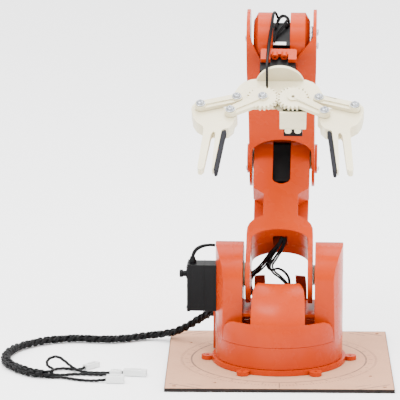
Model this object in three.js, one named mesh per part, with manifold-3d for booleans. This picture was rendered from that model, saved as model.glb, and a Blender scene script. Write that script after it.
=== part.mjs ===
// Desktop robot arm: a turret, two links, a wrist and a geared gripper on a square board.
// Millimetres, +Z up, origin on the underside of the board at the turret's axis.
// The arm faces -Y. Link frames have +Z along the link and -Y as the link's front.
// The hand's frame has +Z along the roll axis and +Y square to the gripper plate.

import * as THREE from 'three';
import { mergeVertices } from 'three/addons/utils/BufferGeometryUtils.js';
import Module from 'manifold-3d';

const wasm = await Module();
wasm.setup();

// ---- driving dimensions ----
const GAP = 0.3;
const WALL = 3;
const BOARD_SIDE = 200;
const BOARD_THICK = 3;
const SHOULDER_HEIGHT = 81;
const LINK_LENGTH = 125;
const BASE_YAW = -1.8;
const UPPER_LEAN = -45;
const FOREARM_LEAN = 20;
const HAND_DROP = 32;
const TURRET_RADIUS = 57;
const RING_RADIUS = 60;
const RING_TOP = 7.7;
const TURRET_BOTTOM = 8.1;
const TURRET_WALL_TOP = 27.6;
const TOWER_INNER = 32;
const TOWER_END_RADIUS = 29.5;
const TOWER_DEPTH = 27;
const FORK_INNER = 25.5;
const FORK_OUTER = 29.8;
const UPPER_DEPTH = 20;
const FOREARM_DEPTH = 25.3;
const FOREARM_INNER = 27;
const DRUM_RADIUS = 23.6;
const CAP_RADIUS = 26.4;
const HAND_OFFSET = -1.2;
const FLANGE_RADIUS = 21.4;
const FLANGE_START = 60.3;
const GEAR_LINE = 92;
const GEAR_PIVOT = 13.2;
const OUTER_PIVOT = [35.6, 1];
const FINGER_INNER = [40.7, 18];
const FINGER_OUTER = [66.8, 10.8];
const FINGER_LOW = -3.5;
const FINGER_TOP = 8.5;
const PRONG_LOW = 1.8;
const PLATE_TOP = 5.5;
const LEVER_BOTTOM = 9;
const LEVER_TOP = 12.5;

// Servos: length, thickness, height along the shaft, and shaft distance from the near end.
const LARGE_SERVO = { length: 42, thick: 20.5, height: 39.5, shaft: 10 };
const SMALL_SERVO = { length: 31.3, thick: 16.5, height: 28.6, shaft: 12.5 };

// ---- solids ----
function toSolid(geometry) {
  geometry.deleteAttribute('normal');
  geometry.deleteAttribute('uv');
  const merged = mergeVertices(geometry, 1e-4);
  const vertProperties = new Float32Array(merged.getAttribute('position').array);
  const triVerts = new Uint32Array(merged.getIndex().array);
  return new wasm.Manifold(new wasm.Mesh({ numProp: 3, vertProperties, triVerts }));
}

function toGeometry(solid) {
  const mesh = solid.getMesh();
  const geometry = new THREE.BufferGeometry();
  geometry.setAttribute('position', new THREE.BufferAttribute(mesh.vertProperties, 3));
  geometry.setIndex(new THREE.BufferAttribute(mesh.triVerts, 1));
  geometry.computeVertexNormals();
  return geometry;
}

function join(solids) {
  return solids.reduce((whole, next) => whole.add(next));
}

function cut(solid, tools) {
  return tools.reduce((rest, tool) => rest.subtract(tool), solid);
}

function box(x0, x1, y0, y1, z0, z1) {
  const geometry = new THREE.BoxGeometry(x1 - x0, y1 - y0, z1 - z0);
  geometry.translate((x0 + x1) / 2, (y0 + y1) / 2, (z0 + z1) / 2);
  return toSolid(geometry);
}

// A cylinder along an axis, from one station to another, centred on (u, v) of the other two.
function rod(axis, radius, from, to, u = 0, v = 0, sides = 24) {
  const geometry = new THREE.CylinderGeometry(radius, radius, to - from, sides);
  const middle = (from + to) / 2;
  if (axis === 'x') {
    geometry.rotateZ(-Math.PI / 2);
    geometry.translate(middle, u, v);
  } else if (axis === 'y') {
    geometry.translate(u, middle, v);
  } else {
    geometry.rotateX(Math.PI / 2);
    geometry.translate(u, v, middle);
  }
  return toSolid(geometry);
}

function extrude(shape, depth) {
  return new THREE.ExtrudeGeometry(shape, { depth, bevelEnabled: false, curveSegments: 16 });
}

// An outline drawn in (y, z), pulled along x.
function slabX(shape, x0, x1) {
  const geometry = extrude(shape, x1 - x0);
  const turn = new THREE.Matrix4().makeBasis(
    new THREE.Vector3(0, 1, 0),
    new THREE.Vector3(0, 0, 1),
    new THREE.Vector3(1, 0, 0),
  );
  geometry.applyMatrix4(turn);
  geometry.translate(x0, 0, 0);
  return toSolid(geometry);
}

// An outline drawn in (x, z), pulled along y.
function slabY(shape, y0, y1) {
  const geometry = extrude(shape, y1 - y0);
  geometry.rotateX(Math.PI / 2);
  geometry.translate(0, y1, 0);
  return toSolid(geometry);
}

// An outline drawn in (x, y), pulled along z.
function slabZ(shape, z0, z1) {
  const geometry = extrude(shape, z1 - z0);
  geometry.translate(0, 0, z0);
  return toSolid(geometry);
}

function outline(points) {
  return new THREE.Shape(points.map(([u, v]) => new THREE.Vector2(u, v)));
}

function mirrored(points) {
  return [...points, ...points.slice().reverse().map(([u, v]) => [-u, v])];
}

function arc(cu, cv, radius, from, to, steps) {
  const points = [];
  for (let i = 0; i <= steps; i += 1) {
    const angle = THREE.MathUtils.degToRad(from + ((to - from) * i) / steps);
    points.push([cu + radius * Math.cos(angle), cv + radius * Math.sin(angle)]);
  }
  return points;
}

// A bar with round ends of two radii, as the hull of two circles.
function roundBar(a, b, ra, rb) {
  const turn = Math.atan2(b[1] - a[1], b[0] - a[0]) * THREE.MathUtils.RAD2DEG;
  const length = Math.hypot(b[0] - a[0], b[1] - a[1]);
  const tilt = Math.asin((ra - rb) / length) * THREE.MathUtils.RAD2DEG;
  return outline([
    ...arc(a[0], a[1], ra, turn + 90 - tilt, turn + 270 + tilt, 8),
    ...arc(b[0], b[1], rb, turn - 90 + tilt, turn + 90 - tilt, 8),
  ]);
}

// ---- materials and placing ----
function plastic(color, roughness) {
  return new THREE.MeshStandardMaterial({ color, roughness, metalness: 0 });
}

const FINISH = {
  orange: () => plastic(0xf0521e, 0.4),
  cream: () => plastic(0xf1ead2, 0.45),
  black: () => plastic(0x17171a, 0.5),
  lead: () => plastic(0x121214, 0.6),
  pad: () => plastic(0x3c3c40, 0.8),
  nylon: () => plastic(0xf2f2ee, 0.45),
  board: () => plastic(0xd9bfae, 0.75),
  steel: () => new THREE.MeshStandardMaterial({ color: 0xc4c7cc, roughness: 0.3, metalness: 1 }),
};

function place(group, name, solid, finish) {
  const mesh = new THREE.Mesh(toGeometry(solid), FINISH[finish]());
  mesh.name = name;
  group.add(mesh);
  return mesh;
}

function turnedGroup(parent, position, tiltX) {
  const group = new THREE.Group();
  group.position.set(...position);
  group.rotation.x = THREE.MathUtils.degToRad(tiltX);
  parent.add(group);
  return group;
}

// Turns a group so that a servo's shaft and its near end face the given directions.
function aimServo(parent, position, shaft, nearEnd) {
  const x = new THREE.Vector3(...shaft);
  const z = new THREE.Vector3(...nearEnd);
  const y = new THREE.Vector3().crossVectors(z, x);
  const group = new THREE.Group();
  group.quaternion.setFromRotationMatrix(new THREE.Matrix4().makeBasis(x, y, z));
  group.position.set(...position);
  parent.add(group);
  return group;
}

// ---- servos, horns and screws ----
// The shaft runs along +x from (0, 0, 0); the case reaches towards -z from it.
// tabDrop is the distance from the shaft end down to the fixing tabs, 0 for none.
function servoCase(size, start, tabDrop) {
  const top = size.shaft;
  const bottom = size.shaft - size.length;
  const half = size.thick / 2;
  const end = start + size.height;
  const parts = [
    box(start, end - 3, -half, half, bottom, top),
    rod('x', half - 0.4, end - 3.1, end, 0, 0, 24),
    rod('x', half * 0.5, end - 3.1, end - 0.6, 0, -half - 1.5, 16),
    rod('x', 2.9, end - 0.1, end + 2.2, 0, 0, 12),
  ];
  if (tabDrop > 0) {
    const seat = end - tabDrop;
    const plate = box(seat, seat + 2.4, -half, half, bottom - 6, top + 6);
    const holes = [bottom - 3.2, top + 3.2].flatMap((z) =>
      [-half / 2, half / 2].map((y) => rod('x', 1.8, seat - 1, seat + 4, y, z, 8)),
    );
    parts.push(cut(plate, holes));
  }
  return join(parts);
}

// A pan head from a seat at `from`, standing out by `height` (its sign is the way it faces).
function panHead(axis, radius, from, height, u, v) {
  const top = from + height;
  return rod(axis, radius, Math.min(from, top), Math.max(from, top), u, v, 12);
}

// ---- base: board, ring, servo ----
function makeBoard() {
  const half = BOARD_SIDE / 2;
  const corner = half - 8.5;
  const innerCircle = 98;
  const holes = [];
  for (let i = 0; i < 4; i += 1) {
    const a = THREE.MathUtils.degToRad(45 + 90 * i);
    const b = THREE.MathUtils.degToRad(55 + 90 * i);
    const reach = corner * Math.SQRT2;
    holes.push(rod('z', 1.9, -1, 5, reach * Math.cos(a), reach * Math.sin(a), 24));
    holes.push(rod('z', 1.7, -1, 5, innerCircle * Math.cos(b), innerCircle * Math.sin(b), 8));
  }
  return cut(box(-half, half, -half, half, 0, BOARD_THICK), holes);
}

const PEDESTAL_TOP = 29.8;
const PEDESTAL_RADIUS = 39.4;
const POST_HALF = 5;
const POST_TOP = 40;
const POST_PLACE = [-52.5, 36.8];
const POST_HEADING = 138.6;

// The fixed ring, with the pedestal that holds the base servo and the harness post.
function makeRing() {
  const floor = BOARD_THICK + GAP;
  const tabCircle = 64;
  const parts = [rod('z', RING_RADIUS, floor, RING_TOP, 0, 0, 48)];
  const holes = [];
  for (let i = 0; i < 6; i += 1) {
    const angle = THREE.MathUtils.degToRad(60 * i);
    const x = tabCircle * Math.cos(angle);
    const y = tabCircle * Math.sin(angle);
    parts.push(rod('z', 5.6, floor, RING_TOP - 0.8, x, y, 16));
    holes.push(rod('z', 1.6, 0, 12, x, y, 8));
  }
  const half = LARGE_SERVO.thick / 2 + GAP;
  const near = -LARGE_SERVO.shaft - GAP;
  const far = LARGE_SERVO.length - LARGE_SERVO.shaft + GAP;
  const block = box(-half - WALL, half + WALL, near - 8, far + 8, RING_TOP - 0.5, PEDESTAL_TOP);
  const pedestal = block.intersect(rod('z', PEDESTAL_RADIUS, 0, 60, 0, 0, 40));
  const pocket = box(-half, half, near, far, 0, 60);
  const post = box(-POST_HALF, POST_HALF, -POST_HALF, POST_HALF, floor, POST_TOP)
    .rotate([0, 0, POST_HEADING])
    .translate([...POST_PLACE, 0]);
  return cut(join([...parts, pedestal, post]), [pocket, ...holes]);
}

// ---- turret: wall, towers, covers ----
function towerEnvelope(side, grow) {
  const profile = outline([
    [-TOWER_DEPTH - grow, TURRET_WALL_TOP - 6],
    [TOWER_DEPTH + grow, TURRET_WALL_TOP - 6],
    ...arc(0, SHOULDER_HEIGHT, TOWER_END_RADIUS + grow, 0, 180, 18),
  ]);
  const inner = TOWER_INNER - grow;
  const x = side < 0 ? [-TURRET_RADIUS - 2, -inner] : [inner, TURRET_RADIUS + 2];
  return slabX(profile, x[0], x[1]);
}

function towerPocket(side) {
  const depth = TOWER_DEPTH - WALL;
  const profile = outline([
    [-depth, 10],
    [depth, 10],
    ...arc(0, SHOULDER_HEIGHT, depth + 1, 0, 180, 12),
  ]);
  const x = side < 0 ? [-TURRET_RADIUS, -TOWER_INNER - WALL] : [TOWER_INNER + WALL, TURRET_RADIUS];
  return slabX(profile, x[0], x[1]).intersect(rod('z', TURRET_RADIUS - WALL, 5, 120, 0, 0, 40));
}

function makeTurretBody() {
  const wall = cut(rod('z', TURRET_RADIUS, TURRET_BOTTOM, TURRET_WALL_TOP, 0, 0, 48), [
    rod('z', TURRET_RADIUS - WALL, 0, 60, 0, 0, 40),
  ]);
  const drum = rod('z', TURRET_RADIUS, TURRET_WALL_TOP - 6, 120, 0, 0, 48);
  const towers = [-1, 1].map((side) => towerEnvelope(side, 0).intersect(drum));
  const deckLow = 48.3;
  const deckHigh = 51.3;
  const deck = cut(box(-34, 34, -26, 26, deckLow, deckHigh), [rod('z', 3.4, 40, 60, 0, 0, 16)]);
  // Room for the fixed base servo, which the turret turns around.
  const servoRoom = rod('z', 40.5, 0, 46.5, 0, 0, 40);
  const half = LARGE_SERVO.thick / 2 + GAP;
  const servoHole = box(
    -62, -50, -half, half,
    SHOULDER_HEIGHT + LARGE_SERVO.shaft - LARGE_SERVO.length - GAP,
    SHOULDER_HEIGHT + LARGE_SERVO.shaft + GAP,
  );
  const leadSlot = box(-62, -50, -2.2, 2.2, SHOULDER_HEIGHT + 21, SHOULDER_HEIGHT + 28);
  return cut(join([wall, ...towers, deck]), [
    servoRoom,
    towerPocket(-1),
    towerPocket(1),
    servoHole,
    leadSlot,
    rod('x', 13, -40, -30, 0, SHOULDER_HEIGHT),
    rod('x', 5.5, 30, 40, 0, SHOULDER_HEIGHT, 24),
  ]);
}

// A curved shell over a list of levels {z, half, back}: its arc has the turret's radius,
// its side edges are at x = +-half, and it is set back by `back`.
function curvedShell(levels, thickness, columns) {
  const positions = [];
  const rings = levels.map(({ z, half, back }) => {
    const row = [];
    for (let i = 0; i <= columns; i += 1) {
      const x = -half + (2 * half * i) / columns;
      row.push([x, back - Math.sqrt(TURRET_RADIUS ** 2 - x ** 2), z]);
    }
    for (let i = columns; i >= 0; i -= 1) {
      const x = -half + (2 * half * i) / columns;
      row.push([x, back + thickness - Math.sqrt(TURRET_RADIUS ** 2 - x ** 2), z]);
    }
    return row;
  });
  rings.forEach((row) => row.forEach((point) => positions.push(...point)));
  const around = rings[0].length;
  const index = [];
  for (let j = 0; j + 1 < rings.length; j += 1) {
    for (let i = 0; i < around; i += 1) {
      const next = (i + 1) % around;
      const a = j * around + i;
      const b = j * around + next;
      index.push(a, b, b + around, a, b + around, a + around);
    }
  }
  const last = (rings.length - 1) * around;
  for (let i = 0; i < columns; i += 1) {
    const far = around - 1 - i;
    index.push(i, far, i + 1, i + 1, far, far - 1);
    index.push(last + i, last + i + 1, last + far, last + i + 1, last + far - 1, last + far);
  }
  const geometry = new THREE.BufferGeometry();
  geometry.setAttribute('position', new THREE.Float32BufferAttribute(positions, 3));
  geometry.setIndex(index);
  return toSolid(geometry);
}

const COVER_LOW = TURRET_WALL_TOP + GAP;

function coverSolid(humpLevels) {
  const skirt = curvedShell(
    [
      { z: COVER_LOW, half: 49.6, back: 0 },
      { z: 36, half: 48.7, back: 0.4 },
      { z: 41.4, half: 47.2, back: 0.9 },
      { z: 44.9, half: 44.2, back: 1.4 },
      { z: 47, half: 39.6, back: 1.8 },
    ],
    2.6,
    14,
  );
  const hump = curvedShell(humpLevels, 2.6, 8);
  return cut(join([skirt, hump]), [towerEnvelope(-1, GAP), towerEnvelope(1, GAP)]);
}

function makeFrontCover() {
  return coverSolid([
    { z: 44, half: 24, back: 1.3 },
    { z: 50, half: 24, back: 2.2 },
    { z: 59, half: 23.8, back: 6.4 },
    { z: 67, half: 23.4, back: 12.8 },
    { z: 73, half: 22.6, back: 20 },
    { z: 76.8, half: 20.5, back: 27 },
    { z: 78.2, half: 18, back: 31 },
  ]);
}

function makeRearCover() {
  const whole = coverSolid([
    { z: 44, half: 24, back: 1.3 },
    { z: 50, half: 24, back: 2.2 },
    { z: 59, half: 23.8, back: 6.4 },
    { z: 66, half: 23.5, back: 12.8 },
    { z: 71, half: 23.2, back: 20 },
    { z: 74.2, half: 22.6, back: 28 },
  ]);
  return cut(whole, [box(-13.8, 13.8, -60, 0, 58, 90)]).rotate([0, 0, 180]);
}

// ---- upper arm ----
function endProfile(depth, lowRadius, highRadius) {
  const high = Math.asin(Math.min(1, depth / highRadius)) * THREE.MathUtils.RAD2DEG;
  const low = Math.asin(Math.min(1, depth / lowRadius)) * THREE.MathUtils.RAD2DEG;
  return outline([
    ...arc(0, 0, lowRadius, -180 - (90 - low), 90 - low, 18),
    ...arc(0, LINK_LENGTH, highRadius, -(90 - high), 180 + (90 - high), 18),
  ]);
}

function archTool(inner, side, top, low) {
  const points = [[inner, low], [inner, side]];
  const steps = 9;
  for (let i = 1; i < steps; i += 1) {
    const angle = (Math.PI / 2) * (i / steps);
    points.push([inner * Math.cos(angle), side + (top - side) * Math.sin(angle)]);
  }
  points.push([0, top]);
  const left = points.slice(0, -1).reverse().map(([u, v]) => [-u, v]);
  return slabY(outline([...points, ...left]), -40, 40);
}

const UPPER_END = 22;

function upperArmBlank(sideOutline) {
  const sides = slabX(endProfile(UPPER_DEPTH, FORK_INNER, UPPER_END), -40, 40);
  const front = slabY(outline(mirrored(sideOutline)), -40, 40);
  const servo = LARGE_SERVO;
  const servoTop = LINK_LENGTH + servo.shaft + 2;
  const cavity = box(-22.3, 22.3, -UPPER_DEPTH + WALL, UPPER_DEPTH - WALL, 87, servoTop);
  const neck = box(-6.5, 6.5, -8, 8, 30, 92);
  const hornHoles = rod('x', 10.6, -40, 40, 0, LINK_LENGTH, 24);
  const shoulderHoles = [rod('x', 3.2, -40, 40, 0, 0, 16)];
  const slot = slabY(
    outline([
      [-8, 89.5],
      [-6.4, 86.6],
      [-2, 84.4],
      [2, 84.4],
      [6.4, 86.6],
      [8, 89.5],
      [8, 160],
      [-8, 160],
    ]),
    -40,
    -UPPER_DEPTH + WALL + 1,
  );
  return cut(front.intersect(sides), [
    archTool(FORK_INNER, 24, 35.5, -40),
    cavity,
    neck,
    hornHoles,
    ...shoulderHoles,
    slot,
  ]);
}

function makeUpperFront() {
  const blank = upperArmBlank([
    [FORK_OUTER, -30],
    [FORK_OUTER, 30],
    [29.4, 37],
    [27.6, 41.5],
    [24.6, 45],
    [20.5, 47.6],
    [15.5, 50.4],
    [15.5, 73],
    [25.3, 80],
    [25.3, 150],
  ]);
  return blank.intersect(box(-40, 40, -60, -GAP / 2, -40, 170));
}

function makeUpperRear() {
  const blank = upperArmBlank([
    [FORK_OUTER, -30],
    [FORK_OUTER, 30],
    [29.4, 37],
    [27.6, 41.5],
    [24.6, 45],
    [20.5, 47.6],
    [16.5, 51],
    [24.5, 56.5],
    [25.3, 150],
  ]);
  return blank.intersect(box(-40, 40, GAP / 2, 60, -40, 170));
}

// ---- forearm ----
const CUT_CENTRE = -2.75;
const CUT_HALF = 16.1;

function forearmOutline() {
  return outline(mirrored([
    [29.6, -30],
    [29.6, 55],
    [31, LINK_LENGTH - 20],
    [31, LINK_LENGTH + 40],
  ]));
}

function frontCut() {
  return slabY(
    outline([
      [CUT_CENTRE - CUT_HALF, 97],
      [CUT_CENTRE + CUT_HALF, 97],
      [CUT_CENTRE + CUT_HALF, 119],
      [28, 138],
      [28, 170],
      [-28, 170],
      [-28, 138],
      [CUT_CENTRE - CUT_HALF, 119],
    ]),
    -60,
    -6,
  );
}

function forearmBlank() {
  const sides = slabX(endProfile(FOREARM_DEPTH, FOREARM_DEPTH + 0.05, CAP_RADIUS), -40, 40);
  const front = slabY(forearmOutline(), -40, 40);
  const inside = slabX(endProfile(FOREARM_DEPTH - 2.5, FOREARM_DEPTH - 2.4, CAP_RADIUS - 2.4), -50, 50);
  const hollow = inside.intersect(box(-FOREARM_INNER, FOREARM_INNER, -40, 40, -40, 170));
  const upperGap = box(-28, 28, -40, 40, LINK_LENGTH - 20, LINK_LENGTH + 20).intersect(inside);
  const bosses = [-1, 1].map((side) => {
    const x = side < 0 ? [-32, -29] : [29, 32];
    return rod('x', 13.5, x[0], x[1], 0, 0, 28);
  });
  return cut(join([front.intersect(sides), ...bosses]), [
    hollow,
    upperGap,
    archTool(FOREARM_INNER, 20.5, 35, -40),
    frontCut(),
    box(-28, 28, -8, 60, 98, 170),
    rod('x', 3.2, -40, 40, 0, 0, 16),
    rod('x', 3.6, -40, 40, 0, LINK_LENGTH, 16),
    ...wristScrewPlaces().map(([y, z]) => rod('x', 1.6, 20, 40, y, z, 8)),
  ]);
}

function wristScrewPlaces() {
  return [45, 135, 225, 315].map((angle) => {
    const a = THREE.MathUtils.degToRad(angle - FOREARM_LEAN);
    return [8.6 * Math.cos(a), LINK_LENGTH + 8.6 * Math.sin(a)];
  });
}

function makeForearmFront() {
  return forearmBlank().intersect(box(-40, 40, -60, -GAP / 2, -60, 200));
}

function makeForearmRear() {
  return forearmBlank().intersect(box(-40, 40, GAP / 2, 60, -60, 200));
}

function makeWristHornRight() {
  const heads = wristScrewPlaces().map(([y, z]) => {
    const shank = rod('x', 1.1, 26, 31.6, y, z, 6);
    return join([shank, panHead('x', 2.1, 31.3, 1.5, y, z)]);
  });
  return join([
    rod('x', 11.5, 25.7, 27.6, 0, LINK_LENGTH, 24),
    rod('x', 3, 17, 26, 0, LINK_LENGTH, 16),
    ...heads,
  ]);
}

// ---- wrist ----
function drum(side) {
  const near = 7.8;
  const wide = 21;
  const far = 25;
  const profile = [[0, near], [DRUM_RADIUS, near], [DRUM_RADIUS, wide], [16.5, far], [0, far]];
  const points = profile.map(([r, x]) => new THREE.Vector2(r, x));
  const lathe = new THREE.LatheGeometry(points, 40);
  lathe.rotateZ(side > 0 ? -Math.PI / 2 : Math.PI / 2);
  return toSolid(lathe);
}

function pitchServoPocket() {
  const servo = SMALL_SERVO;
  const half = servo.thick / 2 + GAP;
  const reach = servo.height / 2 + GAP;
  const ends = [-servo.shaft - GAP, servo.length - servo.shaft + GAP];
  return box(-reach, reach, -half, half, ends[0], ends[1]);
}

const ROLL_SERVO_START = 27;
const ROLL_SERVO_LEFT = -18.4;

function makeWristShell(side) {
  const parts = [drum(side)];
  if (side < 0) {
    const right = ROLL_SERVO_LEFT + SMALL_SERVO.length;
    parts.push(
      box(ROLL_SERVO_LEFT, right, -11.6, -8.6, 24.6, 54.5),
      box(ROLL_SERVO_LEFT, right, -11.6, 8.2, 24.6, ROLL_SERVO_START - GAP),
      box(ROLL_SERVO_LEFT, -8, -11.6, 8, 17, 25),
    );
  }
  return cut(join(parts), [
    pitchServoPocket(),
    rod('x', 3.4, -40, 40, 0, 0, 16),
  ]);
}

function makePitchServo() {
  return servoCase(SMALL_SERVO, -SMALL_SERVO.height / 2, 0);
}

function makeRollClamp() {
  const low = SMALL_SERVO.thick / 2 + GAP;
  const high = 12.4;
  const [left, right] = [-17.8, 13.9];
  const corner = 2.5;
  const bar = slabY(
    outline([
      ...arc(left + corner, 30.5, corner, 180, 270, 4),
      ...arc(right - corner, 30.5, corner, 270, 360, 4),
      [right, 42],
      [6.6, 42],
      [6.6, 35],
      [-9.2, 35],
      [-9.2, 42],
      [left, 42],
    ]),
    low,
    high,
  );
  const lugs = [-5.4, 3].map((x) => rod('z', 3, 33, 38.2, x, low + 2.6, 16));
  const holes = [-5.4, 3].map((x) => rod('z', 1.2, 36, 40, x, low + 2.6, 8));
  const under = box(-20, 20, 0, low, 20, 60);
  return cut(join([bar, ...lugs]), [...holes, under]);
}

// ---- gripper ----
function gearOutline(centre, teeth, phase) {
  const points = [];
  const root = 11.7;
  const tip = 13.95;
  for (let i = 0; i < teeth; i += 1) {
    const base = phase + (360 / teeth) * i;
    [[-0.35, root], [-0.15, tip], [0.15, tip], [0.35, root]].forEach(([step, radius]) => {
      const angle = THREE.MathUtils.degToRad(base + (360 / teeth) * step);
      points.push([centre[0] + radius * Math.cos(angle), centre[1] + radius * Math.sin(angle)]);
    });
  }
  return outline(points);
}

const GEAR_TEETH = 22;

// side is +1 for the right of the gripper, -1 for the left.
function handPoint([x, t], side) {
  return [side * x + HAND_OFFSET, t + GEAR_LINE];
}

function makeGearLever(side) {
  const pivot = handPoint([GEAR_PIVOT, 0], side);
  const far = handPoint(FINGER_INNER, side);
  const phase = side > 0 ? 180 / GEAR_TEETH : 0;
  const gear = slabY(gearOutline(pivot, GEAR_TEETH, phase), LEVER_BOTTOM, LEVER_TOP);
  const arm = slabY(roundBar(pivot, far, 7, 5), LEVER_BOTTOM, LEVER_TOP);
  const rib = slabY(roundBar(pivot, far, 2.2, 1.6), LEVER_TOP - 0.2, LEVER_TOP + 1.2);
  const hub = rod('y', 5, LEVER_TOP - 0.2, LEVER_TOP + 1.2, pivot[0], pivot[1], 16);
  const eye = rod('y', 5, LEVER_TOP - 0.2, LEVER_TOP + 1.2, far[0], far[1], 16);
  const bores = [pivot, far].map(([x, t]) => rod('y', 1.6, 0, 30, x, t, 8));
  return cut(join([gear, arm, rib, hub, eye]), bores);
}

function makeLink(side) {
  const pivot = handPoint(OUTER_PIVOT, side);
  const far = handPoint(FINGER_OUTER, side);
  const arm = slabY(roundBar(pivot, far, 5, 5), LEVER_BOTTOM, LEVER_TOP);
  const rib = slabY(roundBar(pivot, far, 1.6, 1.6), LEVER_TOP - 0.2, LEVER_TOP + 1.2);
  const eyes = [pivot, far].map(([x, t]) => rod('y', 5, LEVER_TOP - 0.2, LEVER_TOP + 1.2, x, t, 16));
  const bores = [pivot, far].map(([x, t]) => rod('y', 1.6, 0, 30, x, t, 8));
  return cut(join([arm, rib, ...eyes]), bores);
}

function sideShape(points, side) {
  const placed = points.map((point) => handPoint(point, side));
  return outline(side > 0 ? placed : placed.reverse());
}

// The deep part of a finger that carries its two pivots, and the shallower pair of prongs:
// the inner prong backs the pad, the outer one is a plain guard.
function makeFinger(side) {
  const body = [
    ...arc(FINGER_OUTER[0], FINGER_OUTER[1], 8, -105, 20, 7),
    [73, 22],
    [69.5, 29],
    [64, 33.5],
    [57, 36],
    [46, 37],
    [41.6, 35.6],
    [37.6, 30],
    ...arc(FINGER_INNER[0], FINGER_INNER[1], 6, 130, 250, 6),
  ];
  const prongs = [
    [44, 30],
    [64.5, 31],
    [63, 38],
    [66.2, 85],
    [65.4, 87.6],
    [62.8, 88],
    [60.8, 85.5],
    [56.4, 44],
    [54.6, 40.4],
    [52.6, 42],
    [54, 84.8],
    [53.6, 87],
    [52.4, 86.8],
    [47.4, 38.8],
    [44, 35.5],
  ];
  const eye = handPoint(FINGER_INNER, side);
  const outer = handPoint(FINGER_OUTER, side);
  const solid = join([
    slabY(sideShape(body, side), FINGER_LOW, FINGER_TOP),
    slabY(sideShape(prongs, side), PRONG_LOW, FINGER_TOP),
  ]);
  return cut(solid, [
    rod('y', 1.6, -10, 30, eye[0], eye[1], 8),
    rod('y', 2.4, -10, 30, outer[0], outer[1], 10),
  ]);
}

function makePad(side) {
  const shape = sideShape(
    [
      [47.1, 39.6],
      [52.1, 86.8],
      [51.6, 88.6],
      [49.9, 88.8],
      [49, 87.4],
      [44.2, 42],
      [43.2, 39],
      [44.6, 37.4],
    ],
    side,
  );
  return slabY(shape, PRONG_LOW - 1.2, FINGER_TOP - 0.4);
}

function makeGripperFrame() {
  const disc = rod('z', FLANGE_RADIUS, FLANGE_START, FLANGE_START + 3, 0, 0, 40);
  const half = [
    [18, FLANGE_START],
    [24, 61.2],
    [30, 64.4],
    [34.6, 70],
    [37.6, 77],
    [40.2, 85],
    ...arc(OUTER_PIVOT[0], GEAR_LINE + OUTER_PIVOT[1], 5.6, 10, -40, 4).reverse(),
    ...arc(OUTER_PIVOT[0], GEAR_LINE + OUTER_PIVOT[1], 5.6, 10, 100, 5),
    [30, 98],
    [12, 97],
  ];
  const plate = slabY(outline(mirrored(half)), PLATE_TOP - WALL, PLATE_TOP).translate([HAND_OFFSET, 0, 0]);
  const servoX = HAND_OFFSET + GEAR_PIVOT;
  const servoBack = GEAR_LINE - (SMALL_SERVO.length - SMALL_SERVO.shaft);
  const servoFront = GEAR_LINE + SMALL_SERVO.shaft;
  const slotHalf = SMALL_SERVO.thick / 2 + GAP;
  const holder = box(servoX - 11.4, servoX + 11.4, -11.6, PLATE_TOP, servoBack - 2.6, servoFront + 2.4);
  const brow = box(servoX - 11.4, servoX + 11.4, 0, PLATE_TOP + 2, servoFront + 0.5, servoFront + 2.4);
  const lugs = [-4.2, 4.2].map((x) =>
    rod('z', 3, servoFront - 4, servoFront + 3, servoX + x, -13.4, 16),
  );
  const seat = box(
    servoX - slotHalf, servoX + slotHalf, -40, 20, servoBack - GAP, servoFront + GAP,
  );
  const gusset = [-1, 1].map((side) => {
    const x = HAND_OFFSET + side * 15;
    return slabX(
      outline([[3, FLANGE_START + 1], [3, 84], [-12, FLANGE_START + 1]]),
      x - 1.2,
      x + 1.2,
    );
  });
  const posts = [OUTER_PIVOT, [-OUTER_PIVOT[0], OUTER_PIVOT[1]], [-GEAR_PIVOT, 0]].map(([x, t]) =>
    rod('y', 4.4, PLATE_TOP - 1, LEVER_BOTTOM - 0.3, x + HAND_OFFSET, t + GEAR_LINE, 16),
  );
  const pins = [OUTER_PIVOT, [-OUTER_PIVOT[0], OUTER_PIVOT[1]], [-GEAR_PIVOT, 0]].map(([x, t]) =>
    rod('y', 1.2, LEVER_BOTTOM - 1, LEVER_TOP + 1, x + HAND_OFFSET, t + GEAR_LINE, 8),
  );
  return cut(join([disc, plate, holder, brow, ...lugs, ...gusset, ...posts, ...pins]), [
    seat,
    rod('z', 3.2, 50, 70, 0, 0, 16),
  ]);
}

function pivotScrew([x, t]) {
  const seat = LEVER_TOP + 1.2 + GAP;
  const washer = rod('y', 4.1, seat, seat + 0.7, x, t, 16);
  return join([washer, panHead('y', 3, seat + 0.6, 2, x, t)]);
}

// ---- leads ----
// A lead along a smooth curve through its points, with a many-sided section.
function lead(points, radius, sides, steps) {
  const curve = new THREE.CatmullRomCurve3(points.map((p) => new THREE.Vector3(...p)), false, 'centripetal');
  const section = new THREE.Shape();
  for (let i = 0; i < sides; i += 1) {
    const angle = (2 * Math.PI * i) / sides;
    const u = radius * Math.cos(angle);
    const v = radius * Math.sin(angle);
    if (i === 0) {
      section.moveTo(u, v);
    } else {
      section.lineTo(u, v);
    }
  }
  const geometry = new THREE.ExtrudeGeometry(section, { steps, bevelEnabled: false, extrudePath: curve });
  return toSolid(geometry);
}

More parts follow.
